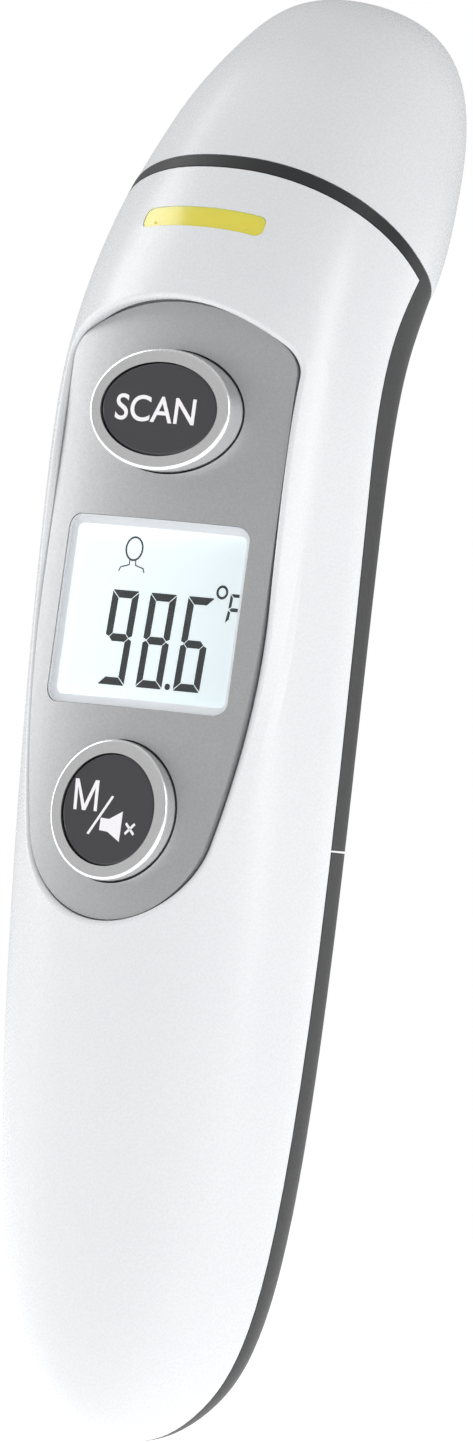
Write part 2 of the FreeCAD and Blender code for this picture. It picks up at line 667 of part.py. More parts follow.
def upper_contact(side, sprung):
    low = BAY_TOP - CONTACT_THICK
    x = side * BATTERY_X
    plate = box(x - 3.8, x + 3.8, -0.5, 5.6, low, BAY_TOP)
    tail = box(x - 0.8, x + 0.8, 0.5, 0.9, low, BAY_TOP + 3.0)
    pieces = [tail]
    if sprung:
        spring = Part.makeCompound(coil_spring(x, 0, SPRING_LENGTH - 0.1))
        spring.rotate(V(x, BATTERY_Y, 0), V(1, 0, 0), 180)
        spring.translate(V(0, 0, low))
        pieces += spring.Solids
    return plate.multiFuse(pieces)


def power_leads():
    leads = []
    for side in (-1, 1):
        x = side * BATTERY_X
        points = [V(x, 0.7, BAY_TOP + 3.0), V(x, 0.7, BAY_TOP + 6.5), V(x, -2.2, BAY_TOP + 9.5),
                  V(x, -4.62, BAY_TOP + 10.15)]
        leads.append(cable(points, 0.5, 1.2))
    return Part.makeCompound(leads)


# ---- probe -------------------------------------------------------------------------------
def probe_nozzle():
    """The ear cone, with a flange that is screwed to the bulkhead."""
    shell = rod(FLANGE_RADIUS, 0, 0, 0, FLANGE_THICK)
    shell = shell.fuse(cone(7.3, 4.7, FLANGE_THICK, PROBE_LENGTH))
    rim = edges_at(shell, PROBE_LENGTH)
    shell = shell.makeFillet(0.6, rim)
    cutters = [rod(SENSOR_RADIUS + 0.1, 0, 0, -1, 8.5), cone(4.6, 3.4, 8.4, PROBE_LENGTH + 0.1)]
    for x in (SENSOR_SCREW_X, -SENSOR_SCREW_X):
        cutters.append(rod(0.7, x, 0, -1, 3))
        cutters.append(rod(1.45, x, 0, 0.7, 6))
    return on_head(shell.cut(cutters))


def sensor_block():
    """Brass block that keeps the detector at an even temperature."""
    block = rod(SENSOR_RADIUS, 0, 0, -1.7, 8.0)
    return on_head(block.cut([rod(2.75, 0, 0, 4.5, 9), rod(1.6, 0, 0, -3, 5)]))


def infrared_detector():
    can = rod(2.7, 0, 0, 4.55, 7.6)
    leads = [rod(0.22, x, y, -2.3, 4.6) for x, y in ((0.8, 0.8), (-0.8, 0.8), (0.8, -0.8), (-0.8, -0.8))]
    return on_head(can.multiFuse(leads))


def wave_guide():
    tube = rod(2.9, 0, 0, 8.05, 21.0)
    return on_head(tube.cut(rod(2.3, 0, 0, 7, 22)))


def probe_window():
    return on_head(rod(3.35, 0, 0, 21.05, 21.5))


def sensor_board():
    disc = rod(6.4, 0, 0, -2.55, -1.75)
    holes = [rod(0.3, x, y, -4, 0) for x, y in ((0.8, 0.8), (-0.8, 0.8), (0.8, -0.8), (-0.8, -0.8))]
    return on_head(disc.cut(holes))


def sensor_screws():
    screws = []
    for x in (SENSOR_SCREW_X, -SENSOR_SCREW_X):
        shank = rod(0.6, x, 0, -1.3, 1.0)
        head = rod(1.35, x, 0, 0.75, 1.65)
        slot = box(x - 1.0, x + 1.0, -0.18, 0.18, 1.25, 3)
        screws.append(on_head(shank.fuse(head).cut(slot)))
    return Part.makeCompound(screws)


PLUG_HEIGHT = 28.0


def sensor_plug():
    housing = box(-3.6, 3.6, PLUG_HEIGHT - 2.4, PLUG_HEIGHT + 2.4, BOARD_BACK - 2.8, BOARD_BACK)
    return on_fascia(housing)


def sensor_leads():
    leads = []
    for i in range(4):
        x = -1.8 + 1.2 * i
        end = FASCIA.multVec(V(x, PLUG_HEIGHT + 2.4, BOARD_BACK - 1.4))
        near_end = FASCIA.multVec(V(x, PLUG_HEIGHT + 4.6, BOARD_BACK - 1.4))
        start = HEAD.multVec(V(x, 1.5, -2.55))
        near_start = HEAD.multVec(V(x, 1.5, -5.0))
        leads.append(cable([start, near_start, near_end, end], 0.4, 1.0))
    return Part.makeCompound(leads)


def light_leads():
    leads = []
    for x in (-5.0, 5.0):
        start = HEAD.multVec(V(x, -6.5, -10.0))
        near_start = HEAD.multVec(V(x, -4.6, -10.0))
        near_end = FASCIA.multVec(V(x, 31.0, BOARD_BACK - 2.6))
        end = FASCIA.multVec(V(x, 31.0, BOARD_BACK))
        leads.append(cable([start, near_start, near_end, end], 0.4, 0.8))
    return Part.makeCompound(leads)


# ---- every piece -------------------------------------------------------------------------
SCAN = (SCAN_HALF_X, SCAN_HALF_Y, SCAN_HEIGHT, SCAN_PROUD)
MODE = (MODE_HALF, MODE_HALF, MODE_HEIGHT, MODE_PROUD)
PIECES = {
    "front_shell": front_shell,
    "rear_shell": rear_shell,
    "battery_door": battery_door,
    "probe_cap": probe_cap,
    "cap_magnets": lambda: pair_on_head(CATCH_RADIUS, CATCH_X, 0.3, 1.78),
    "catch_plates": lambda: pair_on_head(CATCH_RADIUS, CATCH_X, -0.9, -0.02),
    "fascia_panel": fascia_panel,
    "display_window": display_window,
    "lcd_bezel": lcd_bezel,
    "lcd_glass": lcd_glass,
    "lcd_backlight": lcd_backlight,
    "lcd_connectors": lcd_connectors,
    "lcd_holder": lcd_holder,
    "fever_light_window": fever_light_window,
    "light_board": light_board,
    "fever_lamps": fever_lamps,
    "light_leads": light_leads,
    "scan_button_ring": lambda: button_ring(*SCAN),
    "scan_button_key": lambda: button_key(*SCAN),
    "scan_switch_body": lambda: switch_body(SCAN_HEIGHT),
    "scan_switch_button": lambda: switch_button(SCAN_HEIGHT),
    "mode_button_ring": lambda: button_ring(*MODE),
    "mode_button_key": lambda: button_key(*MODE),
    "mode_switch_body": lambda: switch_body(MODE_HEIGHT),
    "mode_switch_button": lambda: switch_button(MODE_HEIGHT),
    "main_board": main_board,
    "board_screws": board_screws,
    "processor": processor,
    "board_parts": board_parts,
    "sounder": sounder,
    "battery_tray": battery_tray,
    "tray_screws": tray_screws,
    "battery_left": lambda: battery(-1, BAY_BOTTOM + CONTACT_THICK + SPRING_LENGTH, True),
    "battery_right": lambda: battery(1, BAY_BOTTOM + CONTACT_THICK + 0.02, False),
    "lower_contact": lower_contact,
    "upper_plate_contact": lambda: upper_contact(-1, False),
    "upper_spring_contact": lambda: upper_contact(1, True),
    "power_leads": power_leads,
    "probe_nozzle": probe_nozzle,
    "sensor_block": sensor_block,
    "infrared_detector": infrared_detector,
    "wave_guide": wave_guide,
    "probe_window": probe_window,
    "sensor_board": sensor_board,
    "sensor_screws": sensor_screws,
    "sensor_plug": sensor_plug,
    "sensor_leads": sensor_leads,
}


def main():
    os.makedirs("parts", exist_ok=True)
    for name, make in PIECES.items():
        shape = make()
        shape.translate(V(0, 0, -GRIP_HEIGHT))
        if not shape.isValid() or shape.Volume <= 0:
            print("bad shape:", name)
        print(f"{name}: {len(shape.Solids)} solid(s), {shape.Volume:.1f} mm3")
        shape.exportStep(f"parts/{name}.step")


if __name__ == "__main__":
    main()
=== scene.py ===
import math

import bmesh
import bpy
from mathutils import Matrix, Vector


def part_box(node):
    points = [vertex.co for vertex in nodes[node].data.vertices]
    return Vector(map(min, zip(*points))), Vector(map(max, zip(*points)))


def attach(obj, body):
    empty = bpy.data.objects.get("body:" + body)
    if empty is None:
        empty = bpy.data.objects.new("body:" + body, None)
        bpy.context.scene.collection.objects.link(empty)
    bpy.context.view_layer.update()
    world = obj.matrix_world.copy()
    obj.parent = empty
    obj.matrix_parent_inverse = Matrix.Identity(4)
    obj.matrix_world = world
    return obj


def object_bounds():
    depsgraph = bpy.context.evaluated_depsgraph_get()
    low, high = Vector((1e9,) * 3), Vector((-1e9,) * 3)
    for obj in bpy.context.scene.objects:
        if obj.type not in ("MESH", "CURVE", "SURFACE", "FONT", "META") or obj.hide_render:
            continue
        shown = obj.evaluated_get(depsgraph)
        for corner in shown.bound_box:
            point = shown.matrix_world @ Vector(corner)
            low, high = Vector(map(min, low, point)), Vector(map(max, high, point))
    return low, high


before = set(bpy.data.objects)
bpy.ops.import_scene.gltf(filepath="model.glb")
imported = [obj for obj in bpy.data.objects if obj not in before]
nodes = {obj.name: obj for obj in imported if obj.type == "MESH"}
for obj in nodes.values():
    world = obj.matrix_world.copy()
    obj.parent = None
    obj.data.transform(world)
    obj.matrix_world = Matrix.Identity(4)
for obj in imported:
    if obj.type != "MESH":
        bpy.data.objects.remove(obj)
cad_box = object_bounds()

MM = 0.001

# ---- white front shell ---------------------------------------------------------------------
# The front half of the handle is one injection moulding in white ABS, polished enough to carry
# a soft shine. Its skin is drawn in the CAD, so here it only gets its finish.


def colour(sheet):
    """The linear colour of an sRGB hex value."""
    parts = [int(sheet[i:i + 2], 16) / 255 for i in (1, 3, 5)]
    return [c / 12.92 if c <= 0.04045 else ((c + 0.055) / 1.055) ** 2.4 for c in parts] + [1.0]


def add(tree, kind, inputs=None, **settings):
    """Adds a node with its settings, and fills its inputs with values or links."""
    node = tree.nodes.new(kind)
    for name, value in settings.items():
        setattr(node, name, value)
    for name, value in (inputs or {}).items():
        if isinstance(value, bpy.types.NodeSocket):
            tree.links.new(value, node.inputs[name])
        else:
            node.inputs[name].default_value = value
    return node


def blank(name):
    """A new material with its tree cleared, and the tree's Object coordinates."""
    material = bpy.data.materials.new(name)
    material.use_nodes = True
    material.node_tree.nodes.clear()
    place = add(material.node_tree, "ShaderNodeTexCoord").outputs["Object"]
    return material, material.node_tree, place


def moulding(name, face, shade, shine, grain, depth, ior=1.53, **gloss):
    """Moulded plastic: faint clouds of shade, and the tool's fine spark texture on its skin.

    shine is the roughness of its smooth and its dull patches, grain the texture's size in mm and
    depth its height in mm."""
    material, tree, place = blank(name)
    cloud = add(tree, "ShaderNodeTexNoise",
                {"Vector": place, "Scale": 1 / (14 * MM), "Detail": 3.0})
    tint = add(tree, "ShaderNodeMix", {"Factor": cloud.outputs["Fac"]}, data_type="RGBA")
    tint.inputs[6].default_value = colour(face)
    tint.inputs[7].default_value = colour(shade)
    spark = add(tree, "ShaderNodeTexNoise",
                {"Vector": place, "Scale": 1 / (grain * MM), "Detail": 2.0, "Roughness": 0.6})
    dull = add(tree, "ShaderNodeMapRange",
               {"Value": spark.outputs["Fac"], "From Min": 0.3, "From Max": 0.7,
                "To Min": shine[0], "To Max": shine[1]})
    bump = add(tree, "ShaderNodeBump",
               {"Height": spark.outputs["Fac"], "Distance": depth * MM, "Strength": 1.0})
    skin = add(tree, "ShaderNodeBsdfPrincipled",
               {"Base Color": tint.outputs[2], "Roughness": dull.outputs["Result"], "IOR": ior,
                "Normal": bump.outputs["Normal"]})
    for socket, value in gloss.items():
        skin.inputs[socket.replace("_", " ")].default_value = value
    add(tree, "ShaderNodeOutputMaterial", {"Surface": skin.outputs["BSDF"]})
    return material


def finish(material, *names):
    """Gives CAD nodes their material."""
    for name in names:
        slots = nodes[name].data.materials
        slots.clear()
        slots.append(material)


# ABS, polished mould: the eye sees a clean cool white with soft, slightly blurred reflections.
# The mould's grain of about 0.05 mm is drawn at 0.25 mm so that it shows at all.
WHITE_ABS = moulding("white_abs_polished_mould", "#DFE1E3", "#DBDDE0", (0.25, 0.30), 0.25, 0.0003)
finish(WHITE_ABS, "front_shell")

# ---- charcoal rear shell and battery door --------------------------------------------------
# The upper back, with the dark ring under the cap, and the sliding battery door below it are
# charcoal ABS from a finely spark-eroded mould, so that a gloved hand holds them.

# ABS, textured mould: near-matt charcoal whose highlights break into a fine grain. The grain
# of about 0.1 mm is drawn at 0.3 mm.
CHARCOAL_ABS = moulding("charcoal_abs_textured_mould", "#1F2022", "#1A1B1D", (0.40, 0.50), 0.3,
                        0.004)
finish(CHARCOAL_ABS, "rear_shell", "battery_door")

# ---- fascia ---------------------------------------------------------------------------------
# A thin crowned panel of ABS, sprayed satin silver before it is pressed into its pocket. The
# flakes in the paint lie flat, which gives it its even, metal-like sheen.


def sprayed_silver():
    # paint with aluminium flakes of 0.03 mm, drawn at 0.12 mm: grey that shades strongly from
    # side to side, with a barely seen sparkle
    material, tree, place = blank("silver_flake_paint_sprayed")
    flakes = add(tree, "ShaderNodeTexVoronoi", {"Vector": place, "Scale": 1 / (0.12 * MM)})
    sheen = add(tree, "ShaderNodeSeparateColor", {"Color": flakes.outputs["Color"]})
    tint = add(tree, "ShaderNodeMix", {"Factor": sheen.outputs["Red"]}, data_type="RGBA")
    tint.inputs[6].default_value = colour("#B0B1B2")
    tint.inputs[7].default_value = colour("#BBBCBD")
    dull = add(tree, "ShaderNodeMapRange", {"Value": sheen.outputs["Green"],
                                            "To Min": 0.36, "To Max": 0.44})
    paint = add(tree, "ShaderNodeBsdfPrincipled",
                {"Base Color": tint.outputs[2], "Metallic": 0.75,
                 "Roughness": dull.outputs["Result"], "Coat Weight": 0.15,
                 "Coat Roughness": 0.2})
    add(tree, "ShaderNodeOutputMaterial", {"Surface": paint.outputs["BSDF"]})
    return material


finish(sprayed_silver(), "fascia_panel")

# ---- display window and bezel ----------------------------------------------------------------
# A clear acrylic pane set flush in the fascia, over a pale moulded frame that slopes down to
# the display.


def clear_acrylic():
    # PMMA, polished mould: clear, with a crisp reflection and the odd faint wipe mark
    material, tree, place = blank("clear_acrylic_polished_mould")
    wipe = add(tree, "ShaderNodeTexNoise", {"Vector": place, "Scale": 1 / (5 * MM), "Detail": 4.0})
    dull = add(tree, "ShaderNodeMapRange", {"Value": wipe.outputs["Fac"], "From Min": 0.45,
                                            "From Max": 0.8, "To Min": 0.02, "To Max": 0.06})
    pane = add(tree, "ShaderNodeBsdfPrincipled",
               {"Base Color": colour("#FCFEFF"), "Roughness": dull.outputs["Result"], "IOR": 1.49,
                "Transmission Weight": 1.0})
    add(tree, "ShaderNodeOutputMaterial", {"Surface": pane.outputs["BSDF"]})
    return material


ACRYLIC = clear_acrylic()
finish(ACRYLIC, "display_window")
# ABS, fine matt mould: a soft pale grey that shades gently down to the display, with a painted glow
# that lightens the shade on its inner wall, where little light gets past the pane
finish(moulding("pale_grey_abs_matt_mould_painted_glow", "#E9EAED", "#E3E4E8", (0.45, 0.55), 0.3, 0.001,
                Emission_Color=colour("#E9EBEE"), Emission_Strength=0.45), "lcd_bezel")

# ---- liquid crystal display ------------------------------------------------------------------
# Two glass sheets with a polariser, lit from behind by a diffuser plate; the holder clips the
# stack to the board and two striped rubber strips connect it.


def lit_display():
    # reflective polariser: pale, faintly blue-green, with painted shade from lighter at negative X
    # to darker at positive X, and a glow that is partly its backlight and partly painted light
    material, tree, place = blank("lcd_polariser_glow_and_painted_shade")
    side = add(tree, "ShaderNodeSeparateXYZ", {"Vector": place})
    # painted shade: the colour runs from light at negative X to darker at positive X, and the glow
    # takes it too
    painted_side_shade = add(tree, "ShaderNodeMapRange",
               {"Value": side.outputs["X"], "From Min": -10 * MM, "From Max": 10 * MM})
    tint = add(tree, "ShaderNodeMix", {"Factor": painted_side_shade.outputs["Result"]}, data_type="RGBA")
    tint.inputs[6].default_value = colour("#F4FCFC")
    tint.inputs[7].default_value = colour("#DFE8EA")
    grain = add(tree, "ShaderNodeTexNoise", {"Vector": place, "Scale": 1 / (0.2 * MM)})
    dull = add(tree, "ShaderNodeMapRange", {"Value": grain.outputs["Fac"],
                                            "To Min": 0.3, "To Max": 0.4})
    glass = add(tree, "ShaderNodeBsdfPrincipled",
                {"Base Color": tint.outputs[2], "Roughness": dull.outputs["Result"],
                 "IOR": 1.5, "Emission Color": tint.outputs[2], "Emission Strength": 0.58})
    add(tree, "ShaderNodeOutputMaterial", {"Surface": glass.outputs["BSDF"]})
    return material


finish(lit_display(), "lcd_glass")
# PMMA diffuser, dotted back: milky white
finish(moulding("milky_acrylic_diffuser", "#F6F7F4", "#EFF1EE", (0.35, 0.45), 0.5, 0.002,
                ior=1.49), "lcd_backlight")
# ABS, plain mould: off-white clip frame, never seen once the case is shut
finish(moulding("natural_abs_plain_mould", "#E6E2D6", "#DDD9CC", (0.4, 0.5), 0.3, 0.002),
       "lcd_holder")


BAND_LENGTH = 0.314      # a wave texture of scale 1 repeats after this many metres


def striped_rubber():
    # silicone rubber with carbon layers every 0.18 mm: pink-grey strips with fine dark stripes
    material, tree, place = blank("striped_silicone_rubber")
    stripe = add(tree, "ShaderNodeTexWave",
                 {"Vector": place, "Scale": BAND_LENGTH / (0.18 * MM)},
                 bands_direction="X")
    tint = add(tree, "ShaderNodeMix", {"Factor": stripe.outputs["Fac"]}, data_type="RGBA")
    tint.inputs[6].default_value = colour("#2A2A2C")
    tint.inputs[7].default_value = colour("#C9A7A2")
    rubber = add(tree, "ShaderNodeBsdfPrincipled",
                 {"Base Color": tint.outputs[2], "Roughness": 0.6, "IOR": 1.41})
    add(tree, "ShaderNodeOutputMaterial", {"Surface": rubber.outputs["BSDF"]})
    return material


finish(striped_rubber(), "lcd_connectors")

# ---- figures on the display --------------------------------------------------------------------
# The dark figures are areas of liquid crystal under the top glass: three seven-segment digits,
# a point, a degree sign with its letter, and a small outline of a head for the forehead mode.
# The panel they are placed on leans back by FASCIA_TILT, and its face runs through FASCIA_Y
# and FASCIA_Z.
FASCIA_TILT, FASCIA_Y, FASCIA_Z = math.radians(4.0), -11.6 * MM, 44.0 * MM
FASCIA = Matrix(((1, 0, 0, 0),
                 (0, math.sin(FASCIA_TILT), -math.cos(FASCIA_TILT), FASCIA_Y),
                 (0, math.cos(FASCIA_TILT), math.sin(FASCIA_TILT), FASCIA_Z),
                 (0, 0, 0, 1)))          # X across the panel, Y up it, Z out of its face
GLASS_FACE = -2.75 * MM                  # top of the glass, below the panel's face
FIGURE_THICK = 0.02 * MM


def switched_crystal():
    # switched liquid crystal between polarisers: soft blue-black, slightly uneven
    material, tree, place = blank("liquid_crystal_switched")
    cloud = add(tree, "ShaderNodeTexNoise", {"Vector": place, "Scale": 1 / (3 * MM)})
    tint = add(tree, "ShaderNodeMix", {"Factor": cloud.outputs["Fac"]}, data_type="RGBA")
    tint.inputs[6].default_value = colour("#262B2E")
    tint.inputs[7].default_value = colour("#1C2022")
    dark = add(tree, "ShaderNodeBsdfPrincipled",
               {"Base Color": tint.outputs[2], "Roughness": 0.4, "IOR": 1.5})
    add(tree, "ShaderNodeOutputMaterial", {"Surface": dark.outputs["BSDF"]})
    return material


CRYSTAL = switched_crystal()


def piece(name, mesh, matrix, body, material):
    """A finished mesh becomes a piece of the model: placed, riding on its body."""
    data = bpy.data.meshes.new(name)
    mesh.transform(matrix)
    mesh.to_mesh(data)
    mesh.free()
    data.materials.append(material)
    made = bpy.data.objects.new(name, data)
    bpy.context.scene.collection.objects.link(made)
    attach(made, body)


def plate(mesh, outline, low, high):
    """Adds a flat plate with this outline (mm, anticlockwise) between two heights."""
    corners = [mesh.verts.new((x * MM, y * MM, low)) for x, y in outline]
    sheet = mesh.faces.new(corners)
    rise = bmesh.ops.extrude_face_region(mesh, geom=[sheet])["geom"]
    tops = [v for v in rise if isinstance(v, bmesh.types.BMVert)]
    bmesh.ops.translate(mesh, verts=tops, vec=(0, 0, high - low))
    bmesh.ops.reverse_faces(mesh, faces=[sheet])


def hoop(mesh, x, y, half_x, half_y, width, low, high, steps=40):
    """Adds a flat oval ring of even width between two heights."""
    disc = bmesh.ops.create_circle(mesh, cap_ends=True, segments=steps, radius=1.0)["verts"]
    bmesh.ops.scale(mesh, verts=disc, vec=(half_x * MM, half_y * MM, 1))
    bmesh.ops.translate(mesh, verts=disc, vec=(x * MM, y * MM, low))
    middle = disc[0].link_faces[0]
    band = bmesh.ops.inset_region(mesh, faces=[middle], thickness=width * MM,
                                  use_boundary=True, use_even_offset=True)["faces"]
    bmesh.ops.delete(mesh, geom=[middle], context="FACES")
    rise = bmesh.ops.extrude_face_region(mesh, geom=band)["geom"]
    tops = [v for v in rise if isinstance(v, bmesh.types.BMVert)]
    bmesh.ops.translate(mesh, verts=tops, vec=(0, 0, high - low))
    bmesh.ops.recalc_face_normals(mesh, faces=mesh.faces)


DIGIT_LEFTS = (-6.15, -1.28, 3.6)       # left edge of each digit at its foot, in mm
DIGIT_WIDE, DIGIT_HIGH, DIGIT_FOOT = 3.4, 10.2, -7.75
STROKE, GAP = 0.84, 0.06                # width of a stroke, half the gap between two strokes
SLANT = 0.042                           # a digit leans this much to the right for its height
SEGMENTS = {"9": "abcdfg", "8": "abcdefg", "6": "acdefg"}


def digit_strokes(which, left):
    """The outlines of a seven-segment digit's lit strokes, mitred at their ends."""
    w, h, s, g = DIGIT_WIDE, DIGIT_HIGH, STROKE, GAP
    mid = h / 2
    bars = {
        "a": ((g, h - g), (s + g, h - s), (w - s - g, h - s), (w - g, h - g), (w - 2 * g, h),
              (2 * g, h)),
        "d": ((2 * g, 0), (w - 2 * g, 0), (w - g, g), (w - s - g, s), (s + g, s), (g, g)),
        "g": ((s / 2 + g, mid), (s + g, mid - s / 2), (w - s - g, mid - s / 2),
              (w - s / 2 - g, mid), (w - s - g, mid + s / 2), (s + g, mid + s / 2)),
        "f": ((0, mid + g + 0.2), (s / 2, mid + g), (s, mid + s / 2 + g), (s, h - s - g),
              (0, h - g - 0.1)),
        "e": ((0, g + 0.1), (s, s + g), (s, mid - s / 2 - g), (s / 2, mid - g),
              (0, mid - g - 0.2))}
    for lit, mirrored in (("b", "f"), ("c", "e")):
        bars[lit] = tuple((w - x, y) for x, y in reversed(bars[mirrored]))
    for letter in SEGMENTS[which]:
        yield [(left + x + SLANT * y, DIGIT_FOOT + y) for x, y in bars[letter]]


figures = bmesh.new()
figure_heights = (GLASS_FACE, GLASS_FACE + FIGURE_THICK)
for which, left in zip("986", DIGIT_LEFTS):
    for outline in digit_strokes(which, left):
        plate(figures, outline, *figure_heights)
POINT_X, POINT_Y, POINT_RADIUS, POINT_SIDES = 2.86, -7.40, 0.36, 16
point = []
for k in range(POINT_SIDES):
    turn = 2 * math.pi * k / POINT_SIDES
    point.append((POINT_X + POINT_RADIUS * math.cos(turn),
                  POINT_Y + POINT_RADIUS * math.sin(turn)))
plate(figures, point, *figure_heights)
LETTER_STROKES = (((9.10, -0.05), (9.52, 0.35), (9.60, 1.10), (9.28, 1.28)),
                  ((9.30, 1.48), (9.64, 1.66), (9.72, 2.66), (9.38, 2.98)),
                  ((9.44, 3.08), (9.80, 2.72), (10.95, 2.72), (10.95, 3.08)),
                  ((9.42, 1.38), (9.72, 1.18), (10.60, 1.18), (10.72, 1.38), (10.60, 1.58),
                   (9.72, 1.58)))
for outline in LETTER_STROKES:
    plate(figures, outline, *figure_heights)
hoop(figures, 8.25, 3.15, 0.76, 0.76, 0.28, *figure_heights)
# the head: a plain round outline over an open neck and shoulders
HEAD_X = -3.75
NECK = ((0.33, 5.72), (0.33, 5.15), (1.40, 4.85), (1.60, 4.42), (1.72, 4.45), (1.5, 4.95),
        (0.45, 5.25), (0.45, 5.72))
hoop(figures, HEAD_X, 6.95, 1.15, 1.33, 0.2, *figure_heights)
plate(figures, [(HEAD_X - x, y) for x, y in reversed(NECK)], *figure_heights)
plate(figures, [(HEAD_X + x, y) for x, y in NECK], *figure_heights)
piece("lcd_figures", figures, FASCIA, "handle", CRYSTAL)

# ---- fever light ---------------------------------------------------------------------------------
# A translucent yellow bar under the dark ring, lit from inside by two lamps on a small board.
# PC, polished mould, dyed: a glossy lemon yellow that glows a little at its edges
finish(moulding("yellow_polycarbonate_translucent", "#E6D94F", "#DDCF45", (0.16, 0.22), 0.4,
                0.0006, ior=1.58, Subsurface_Weight=0.35, Subsurface_Scale=0.0015,
                Coat_Weight=0.3, Coat_Roughness=0.08), "fever_light_window")


def circuit_board():
    # glass-epoxy board under green solder mask: copper tracks show as lighter green lines
    material, tree, place = blank("glass_epoxy_green_solder_mask")
    tracks = add(tree, "ShaderNodeTexBrick",
                 {"Vector": place, "Scale": 1 / (9 * MM), "Mortar Size": 0.035, "Brick Width": 0.45,
                  "Row Height": 0.16, "Mortar Smooth": 0.2})
    tracks.inputs["Color1"].default_value = colour("#1F5A38")
    tracks.inputs["Color2"].default_value = colour("#256440")
    tracks.inputs["Mortar"].default_value = colour("#3F8A57")
    weave = add(tree, "ShaderNodeTexNoise", {"Vector": place, "Scale": 1 / (0.5 * MM)})
    dull = add(tree, "ShaderNodeMapRange", {"Value": weave.outputs["Fac"],
                                            "To Min": 0.28, "To Max": 0.4})
    bump = add(tree, "ShaderNodeBump", {"Height": tracks.outputs["Fac"], "Distance": 0.03 * MM})
    mask = add(tree, "ShaderNodeBsdfPrincipled",
               {"Base Color": tracks.outputs["Color"], "Roughness": dull.outputs["Result"],
                "IOR": 1.5, "Normal": bump.outputs["Normal"]})
    add(tree, "ShaderNodeOutputMaterial", {"Surface": mask.outputs["BSDF"]})
    return material


BOARD = circuit_board()
finish(BOARD, "light_board")
# PPA lamp bodies with a phosphor fill, off-white
finish(moulding("white_lamp_body_moulded", "#F2EFE2", "#EDE3A8", (0.3, 0.45), 0.6, 0.002),
       "fever_lamps")


def by_side(name, left, right, shine):
    """Leads in pairs: the one at negative X takes the first colour, the other the second."""
    material, tree, place = blank(name)
    side = add(tree, "ShaderNodeSeparateXYZ", {"Vector": place})
    pick = add(tree, "ShaderNodeMapRange",
               {"Value": side.outputs["X"], "From Min": -0.1 * MM, "From Max": 0.1 * MM})
    tint = add(tree, "ShaderNodeMix", {"Factor": pick.outputs["Result"]}, data_type="RGBA")
    tint.inputs[6].default_value = colour(left)
    tint.inputs[7].default_value = colour(right)
    scuff = add(tree, "ShaderNodeTexNoise", {"Vector": place, "Scale": 1 / (1.5 * MM)})
    dull = add(tree, "ShaderNodeMapRange", {"Value": scuff.outputs["Fac"],
                                            "To Min": shine - 0.08, "To Max": shine + 0.08})
    sleeve = add(tree, "ShaderNodeBsdfPrincipled",
                 {"Base Color": tint.outputs[2], "Roughness": dull.outputs["Result"], "IOR": 1.53})
    add(tree, "ShaderNodeOutputMaterial", {"Surface": sleeve.outputs["BSDF"]})
    return material


# PVC sleeves, extruded: white and black pair
finish(by_side("white_and_black_pvc_sleeve", "#E8E6E0", "#26262A", 0.42), "light_leads")

# ---- push buttons -------------------------------------------------------------------------------
# Each button is a satin-plated ring pressed onto a dark key. The keys work small switches on
# the main board, and their legends are printed in white.


def metal(name, tone, shade, shine, lay, stretch=(1, 1, 1)):
    """Bare or plated metal: a base tone with faint streaks, lay mm apart, that set its shine."""
    material, tree, place = blank(name)
    turned = add(tree, "ShaderNodeMapping", {"Vector": place, "Scale": stretch})
    streak = add(tree, "ShaderNodeTexNoise",
                 {"Vector": turned.outputs["Vector"], "Scale": 1 / (lay * MM), "Detail": 4.0})
    tint = add(tree, "ShaderNodeMix", {"Factor": streak.outputs["Fac"]}, data_type="RGBA")
    tint.inputs[6].default_value = colour(tone)
    tint.inputs[7].default_value = colour(shade)
    dull = add(tree, "ShaderNodeMapRange",
               {"Value": streak.outputs["Fac"], "From Min": 0.3, "From Max": 0.7,
                "To Min": shine[0], "To Max": shine[1]})
    face = add(tree, "ShaderNodeBsdfPrincipled",
               {"Base Color": tint.outputs[2], "Metallic": 1.0,
                "Roughness": dull.outputs["Result"]})
    add(tree, "ShaderNodeOutputMaterial", {"Surface": face.outputs["BSDF"]})
    return material


# chromium over nickel on ABS, satin: bright silver, softly blurred, fine-grained
SATIN_CHROME = metal("satin_chrome_plated_abs", "#F4F4F4", "#EEEEEF", (0.20, 0.24), 0.3)
finish(SATIN_CHROME, "scan_button_ring", "mode_button_ring")
# ABS, fine matt mould: dark warm grey with a soft sheen
DARK_KEY = moulding("dark_grey_abs_satin_mould", "#3B3A3E", "#353438", (0.28, 0.36), 0.25, 0.001)
finish(DARK_KEY, "scan_button_key", "mode_button_key")


def printed_white():
    # pad-printed ink: opaque white, a little uneven where the pad lifted
    material, tree, place = blank("white_ink_pad_printed")
    pad = add(tree, "ShaderNodeTexNoise", {"Vector": place, "Scale": 1 / (0.4 * MM), "Detail": 3.0})
    tint = add(tree, "ShaderNodeMix", {"Factor": pad.outputs["Fac"]}, data_type="RGBA")
    tint.inputs[6].default_value = colour("#F6F4F8")
    tint.inputs[7].default_value = colour("#E9E6EC")
    ink = add(tree, "ShaderNodeBsdfPrincipled",
              {"Base Color": tint.outputs[2], "Roughness": 0.45, "IOR": 1.5})
    add(tree, "ShaderNodeOutputMaterial", {"Surface": ink.outputs["BSDF"]})
    return material


INK = printed_white()
INK_THICK, INK_LIFT = 0.02 * MM, 0.002 * MM      # the print, and its height above the key
LETTER_SPREAD = 0.035 * MM                       # how far the ink spreads past each letter


